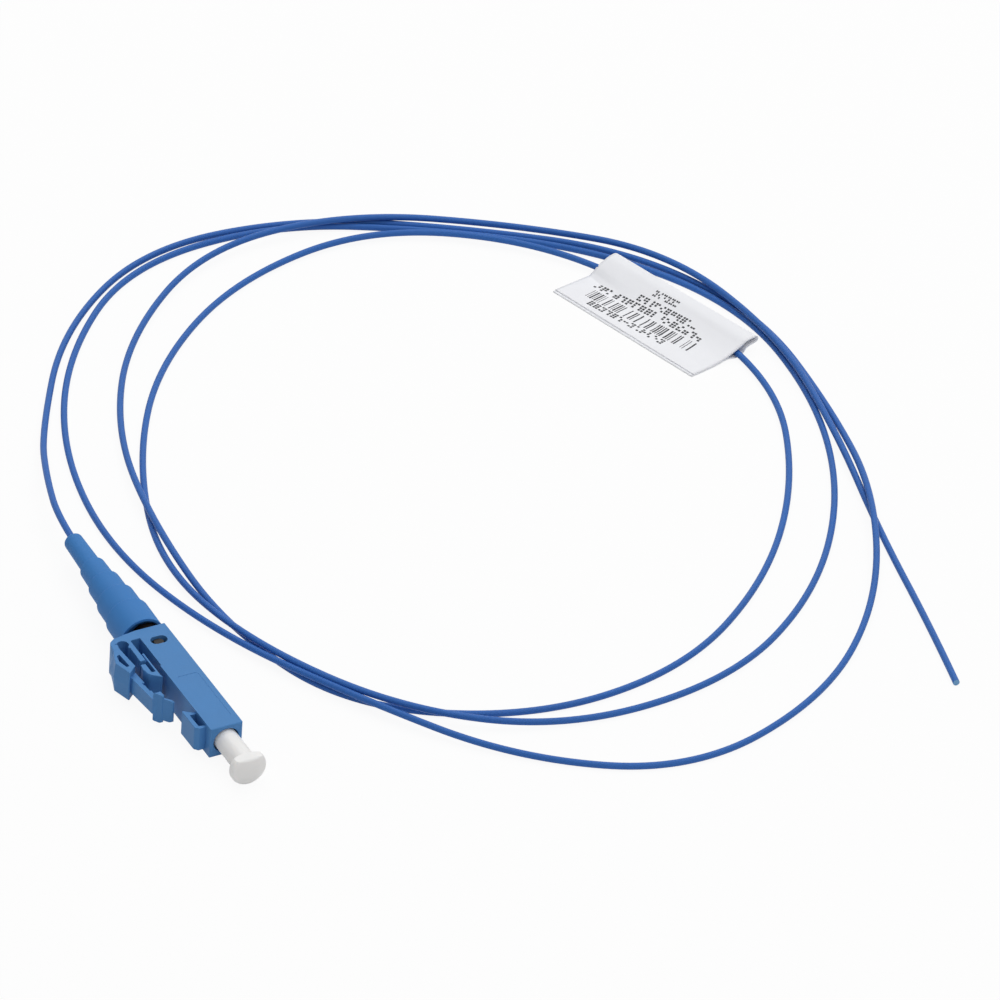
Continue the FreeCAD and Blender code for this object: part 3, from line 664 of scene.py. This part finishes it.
def print_tree(ink):
    """Geometry tree that turns the film into its print: rows of dot blocks and one row of bars."""
    tree = bpy.data.node_groups.new("Label print", "GeometryNodeTree")
    kinds = {"Film": "Geometry", "Flat size": "Vector", "Skew": "Float", "Lift": "Float", "Seed": "Int"}
    for socket, kind in kinds.items():
        group_socket(tree, socket, "INPUT", kind)
    group_socket(tree, "Print", "OUTPUT", "Geometry")
    given = tree_node(tree, "NodeGroupInput").outputs
    joined = tree_node(tree, "GeometryNodeJoinGeometry")

    def add_row(place, up, pitch, marks, size, spread, left_out):
        # A row's own seed counts on from the nodes before it
        seed = math_node(tree, "ADD", given["Seed"], float(len(tree.nodes)))
        shared = {name: given[name] for name in ("Film", "Flat size", "Skew", "Lift")}
        own = {"First": (place + pitch / 2, up, 0.0), "Pitch": pitch, "Marks": marks, "Size": (*size, 1.0),
               "Spread": spread, "Left out": left_out, "Seed": seed}
        row = tree_node(tree, "GeometryNodeGroup", {**shared, **own}, node_tree=mark_row_group())
        tree.links.new(row.outputs[0], joined.inputs[0])

    for start, end, up, cells in SIGN_ROWS:
        pitch = (end - start) / cells
        size = (DOT_SIZE[0] * pitch, DOT_SIZE[1] * SIGN_HEIGHT)
        for across, rise in DOT_PLACES:
            add_row(start + across * pitch, up + rise * SIGN_HEIGHT, pitch, cells, size, 0.0, DOTS_LEFT_OUT)
    start, end, up, bars = BAR_ROW
    add_row(start, up, (end - start) / bars, bars, (BAR_WIDTH, BAR_HEIGHT), BAR_SPREAD, BARS_LEFT_OUT)
    inked = tree_node(tree, "GeometryNodeSetMaterial", {"Geometry": joined.outputs[0], "Material": ink})
    tree_node(tree, "NodeGroupOutput", {"Print": inked.outputs[0]})
    return tree


def build_print(film, developed, sizes, ink):
    """Plain mesh of the label's print, worked out on the film by the print tree."""
    carrier = link_object("label_print", film.copy())
    rows = carrier.modifiers.new("Print", "NODES")
    rows.node_group = print_tree(ink)
    set_inputs(rows, {"Flat size": (sizes.label_long, developed, 1.0), "Skew": sizes.print_skew,
                      "Lift": sizes.ink, "Seed": sizes.print_seed})
    wall = carrier.modifiers.new("Ink", "SOLIDIFY")
    wall.thickness = sizes.ink
    wall.offset = 0.0
    plain_mesh(carrier)
    return carrier


# Spring of the ferrule


def spring_tree(steel):
    """Geometry tree of a coil of round wire that stands on the origin."""
    tree = bpy.data.node_groups.new("Coil spring", "GeometryNodeTree")
    for socket in ("Radius", "Wire", "Turns", "Height"):
        group_socket(tree, socket, "INPUT", "Float")
    group_socket(tree, "Coil", "OUTPUT", "Geometry")
    given = tree_node(tree, "NodeGroupInput").outputs
    helix = tree_node(tree, "GeometryNodeCurveSpiral", {
        "Resolution": SPRING_STEPS, "Rotations": given["Turns"], "Start Radius": given["Radius"],
        "End Radius": given["Radius"], "Height": given["Height"]})
    wire = tree_node(tree, "GeometryNodeCurvePrimitiveCircle", {
        "Resolution": WIRE_SIDES, "Radius": given["Wire"]})
    coil = tree_node(tree, "GeometryNodeCurveToMesh", {
        "Curve": helix.outputs[0], "Profile Curve": wire.outputs[0], "Fill Caps": True})
    drawn = tree_node(tree, "GeometryNodeSetMaterial", {"Geometry": coil.outputs[0], "Material": steel})
    tree_node(tree, "NodeGroupOutput", {"Coil": drawn.outputs[0]})
    return tree


def build_spring(sizes, steel):
    """Coil in the place of the spring's solid, with the way that it closes, its seat and its length."""
    low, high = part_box("spring")
    back = Vector(joint_row("ferrule_float")["axis"])
    wide = sizes.spring_radius + sizes.spring_wire
    length = (high.x - low.x - 2 * wide * abs(back.z)) / abs(back.x)
    height = length - 2 * sizes.spring_wire
    carrier = link_object("spring_coil", bpy.data.meshes.new("spring_coil"))
    coil = carrier.modifiers.new("Coil", "NODES")
    coil.node_group = spring_tree(steel)
    set_inputs(coil, {"Radius": sizes.spring_radius, "Wire": sizes.spring_wire, "Turns": sizes.spring_turns,
                      "Height": height})
    plain_mesh(carrier)
    middle = (Vector(low) + Vector(high)) / 2
    carrier.data.transform(standing(middle - back * (height / 2), back))
    return carrier, back, middle + back * (length / 2), length


# Hinge of the latch


def hinge_place(back, out, up):
    """Point of the plug from the latch's hinge: metres back, out and up, square to the plug's own axis."""
    hinge, pull = joint_row("latch_press"), joint_row("dust_cap_pull")
    middle = Vector(hinge["pos_m"]) - Vector(pull["axis"]) * back - Vector((0, out, 0))
    return middle + Vector(hinge["axis"]) * up


def build_web():
    """Closed skin of the thinned hinge, from inside the root of the latch to inside the trigger."""
    mesh = bmesh.new()
    rings = []
    for back, end_out, middle_out, half_height in WEB_STATIONS:
        rise = [half_height * (2 * step / WEB_STEPS - 1) for step in range(WEB_STEPS + 1)]
        face = [(end_out + (middle_out - end_out) * (1 - (up / half_height) ** 2), up) for up in rise]
        low, high = face[0], face[-1]
        face[0] = (low[0], low[1] + WEB_EDGE)
        face[-1] = (high[0], high[1] - WEB_EDGE)
        ring = [(WEB_INNER, low[1]), (low[0] - WEB_EDGE, low[1]), *face, (high[0] - WEB_EDGE, high[1]),
                (WEB_INNER, high[1])]
        rings.append([mesh.verts.new(hinge_place(back, out, up)) for out, up in ring])
    for face in skin_rings(mesh, rings):
        face.smooth = True
    mesh.faces.new(rings[0])
    mesh.faces.new(rings[-1])
    bmesh.ops.recalc_face_normals(mesh, faces=mesh.faces)
    data = mesh_data("hinge_web", mesh)
    data.set_sharp_from_angle(angle=WEB_SHARP)
    return data


# Cut end of the fibre


def build_cut_end(sizes):
    """Turned face of the cut end, with the coated glass a little proud in its middle."""
    before, end = (Vector(point) for point in FIBRE_ROUTE[-2:])
    mesh = bmesh.new()
    radius = sizes.fibre / 2
    turns = [math.tau * side / CUT_SIDES for side in range(CUT_SIDES)]
    rings = [[mesh.verts.new(Vector((wide * math.cos(turn), wide * math.sin(turn), out)) * radius)
              for turn in turns] for out, wide in CUT_FACE[1:-1]]
    skin_rings(mesh, rings)
    for (out, _), ring in ((CUT_FACE[0], rings[0]), (CUT_FACE[-1], rings[-1])):
        pole = mesh.verts.new((0, 0, out * radius))
        for pair in zip(ring, ring[1:] + ring[:1]):
            mesh.faces.new((pole, *pair))
    bmesh.ops.recalc_face_normals(mesh, faces=mesh.faces)
    bmesh.ops.transform(mesh, matrix=standing(end, end - before), verts=mesh.verts)
    return mesh_data("fibre_cut_end", mesh)


# Operators


class PIGTAIL_OT_studio(bpy.types.Operator):
    """Set the camera, floor, surroundings and soft lights"""
    bl_idname = "pigtail.studio"
    bl_label = "Studio"

    def execute(self, context):
        studio = context.scene.pigtail_studio
        context.scene.view_settings.view_transform = "Standard"
        self.add_camera(context, studio)
        self.add_floor(studio)
        self.add_world(context, studio)
        self.add_light("overhead_light", studio.target, studio.key_place, studio.key_size, studio.key_power)
        self.add_light("front_light", studio.target, studio.fill_place, studio.fill_size, studio.fill_power)
        return {"FINISHED"}

    @staticmethod
    def add_camera(context, studio):
        """Camera at its angle and distance from the target, rolled about its own axis."""
        forward = Vector((-math.sin(studio.azimuth) * math.cos(studio.elevation),
                          math.cos(studio.azimuth) * math.cos(studio.elevation),
                          -math.sin(studio.elevation)))
        level = forward.cross(Vector((0, 0, 1))).normalized()
        upright = level.cross(forward)
        right = level * math.cos(studio.roll) + upright * math.sin(studio.roll)
        up = upright * math.cos(studio.roll) - level * math.sin(studio.roll)
        lens = bpy.data.cameras.new("camera")
        lens.lens = studio.lens
        lens.sensor_width = studio.sensor
        lens.clip_start = studio.clip
        camera = link_object("camera", lens)
        turn = Matrix((right, up, -forward)).transposed().to_4x4()
        camera.matrix_world = Matrix.Translation(Vector(studio.target) - forward * studio.distance) @ turn
        context.scene.camera = camera

    @staticmethod
    def add_floor(studio):
        """Square floor, which keeps a little of the object's shadow."""
        mesh = bmesh.new()
        bmesh.ops.create_grid(mesh, x_segments=1, y_segments=1, size=studio.floor_size / 2)
        floor = link_object("floor", mesh_data("floor", mesh))
        material, tree, shader = fresh_material("floor_white")
        set_sockets(tree, shader, {"Base Color": FLOOR_COLOUR, "Roughness": FLOOR_ROUGHNESS,
                                   "Specular IOR Level": FLOOR_SPECULAR})
        white = tree_node(tree, "ShaderNodeEmission", {"Color": WHITE})
        show_white(tree, shader, white, FLOOR_WHITE, "Material Output")
        set_material(floor, material)

    @staticmethod
    def add_world(context, studio):
        """Soft light from all round, seen as plain white."""
        world = bpy.data.worlds.new("surroundings")
        world.use_nodes = True
        tree = world.node_tree
        soft = tree.nodes["Background"]
        set_sockets(tree, soft, {"Color": WHITE, "Strength": studio.ambient})
        white = tree_node(tree, "ShaderNodeBackground", {"Color": WHITE})
        show_white(tree, soft, white, 1.0, "World Output")
        context.scene.world = world

    @staticmethod
    def add_light(name, target, offset, size, power):
        """Square soft light at an offset from the target, turned towards it."""
        lamp = bpy.data.lights.new(name, "AREA")
        lamp.size = size
        lamp.energy = power
        light = link_object(name, lamp)
        light.location = Vector(target) + Vector(offset)
        light.rotation_euler = (-Vector(offset)).to_track_quat("-Z", "Y").to_euler()


class PIGTAIL_OT_label(bpy.types.Operator):
    """Fold the label's film over the fibre and print its rows of plain marks"""
    bl_idname = "pigtail.label"
    bl_label = "Flag Label"

    def execute(self, context):
        colours, sizes = context.scene.pigtail_colours, context.scene.pigtail_sizes
        data, developed = build_film(sizes)
        marks = build_print(data, developed, sizes, print_grey(colours))
        finish_piece(marks, "plug_body")
        film = link_object("label_film", data)
        set_material(film, film_white(colours))
        wall = film.modifiers.new("Film", "SOLIDIFY")
        wall.thickness = sizes.film
        wall.offset = -1.0
        finish_piece(film, "plug_body")
        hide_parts("flag_label")
        return {"FINISHED"}


class PIGTAIL_OT_fibre(bpy.types.Operator):
    """Lay the buffered fibre along its route and face its cut end"""
    bl_idname = "pigtail.fibre"
    bl_label = "Fibre"

    def execute(self, context):
        colours, sizes = context.scene.pigtail_colours, context.scene.pigtail_sizes
        line = bpy.data.curves.new("fibre_strand", "CURVE")
        line.dimensions = "3D"
        spline = line.splines.new("NURBS")
        spline.points.add(len(FIBRE_ROUTE) - 1)
        for point, place in zip(spline.points, FIBRE_ROUTE):
            point.co = (*place, 1.0)
        spline.order_u = FIBRE_ORDER
        spline.use_endpoint_u = True
        spline.resolution_u = FIBRE_STEPS
        line.bevel_depth = sizes.fibre / 2
        line.bevel_resolution = FIBRE_SIDES
        line.use_fill_caps = True
        strand = link_object("fibre_strand", line)
        set_material(strand, buffer_blue(colours))
        finish_piece(strand, "plug_body")
        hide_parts("buffered_fibre")
        cut = link_object("fibre_cut_end", build_cut_end(sizes))
        set_material(cut, cut_blue(colours))
        finish_piece(cut, "plug_body")
        return {"FINISHED"}

    @staticmethod
    def boot_lip(depth):
        """Middle of the boot's lip, which holds the fibre where it comes out."""
        first, second = (Vector(point) for point in FIBRE_ROUTE[1:3])
        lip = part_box("boot")[0].x + depth
        return first.lerp(second, (lip - first.x) / (second.x - first.x))


class PIGTAIL_OT_plug(bpy.types.Operator):
    """Finish the housing, the boot and the dust cap, and the latch with the web of its hinge"""
    bl_idname = "pigtail.plug"
    bl_label = "Plug"

    def execute(self, context):
        colours = context.scene.pigtail_colours
        blue = satin_blue(colours)
        finishes = {"housing": blue, "latch_lever": blue, "boot": soft_blue(colours),
                    "dust_cap": cap_white(colours)}
        for node, material in finishes.items():
            set_material(frame["nodes"][node], material)
        web = link_object("hinge_web", build_web())
        set_material(web, blue)
        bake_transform(web)
        return {"FINISHED"}


class PIGTAIL_OT_core(bpy.types.Operator):
    """Finish the ferrule, its holder, the backbone and the stripped fibre, and wind the spring"""
    bl_idname = "pigtail.core"
    bl_label = "Inner Pieces"

    def execute(self, context):
        colours = context.scene.pigtail_colours
        finishes = {"ferrule": ceramic_white, "ferrule_flange": plated_metal, "backbone": backbone_brown,
                    "bare_fibre": coated_glass}
        for node, finish in finishes.items():
            set_material(frame["nodes"][node], finish(colours))
        spring, back, seat, length = build_spring(context.scene.pigtail_sizes, spring_steel(colours))
        finish_piece(spring, "plug_body")
        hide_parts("spring")
        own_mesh(spring)
        return {"FINISHED"}


class PIGTAIL_PT_panel(bpy.types.Panel):
    """Operators and values of the pigtail"""
    bl_idname = "PIGTAIL_PT_panel"
    bl_label = "Fibre Pigtail"
    bl_space_type = "VIEW_3D"
    bl_region_type = "UI"
    bl_category = "Pigtail"

    def draw(self, context):
        for operator in OPERATORS:
            self.layout.operator(operator.bl_idname)
        for name in GROUPS:
            box = self.layout.box()
            group = getattr(context.scene, name)
            for value in group.bl_rna.properties.keys():
                if value not in ("rna_type", "name"):
                    box.prop(group, value)


GROUPS = {"pigtail_colours": PigtailColours, "pigtail_sizes": PigtailSizes, "pigtail_studio": PigtailStudio}
OPERATORS = (PIGTAIL_OT_studio, PIGTAIL_OT_label, PIGTAIL_OT_fibre, PIGTAIL_OT_plug, PIGTAIL_OT_core)
CLASSES = (*GROUPS.values(), *OPERATORS, PIGTAIL_PT_panel)


def register():
    """Add the classes, and the groups of values to the scene."""
    for kind in CLASSES:
        bpy.utils.register_class(kind)
    for name, group in GROUPS.items():
        setattr(bpy.types.Scene, name, PointerProperty(type=group))


def unregister():
    """Take out what register adds."""
    for name in GROUPS:
        delattr(bpy.types.Scene, name)
    for kind in reversed(CLASSES):
        bpy.utils.unregister_class(kind)


def main():
    """Build the pigtail and its studio."""
    register()
    bpy.ops.pigtail.studio()
    bpy.ops.pigtail.label()
    bpy.ops.pigtail.fibre()
    bpy.ops.pigtail.plug()
    bpy.ops.pigtail.core()


if __name__ == "__main__":
    main()
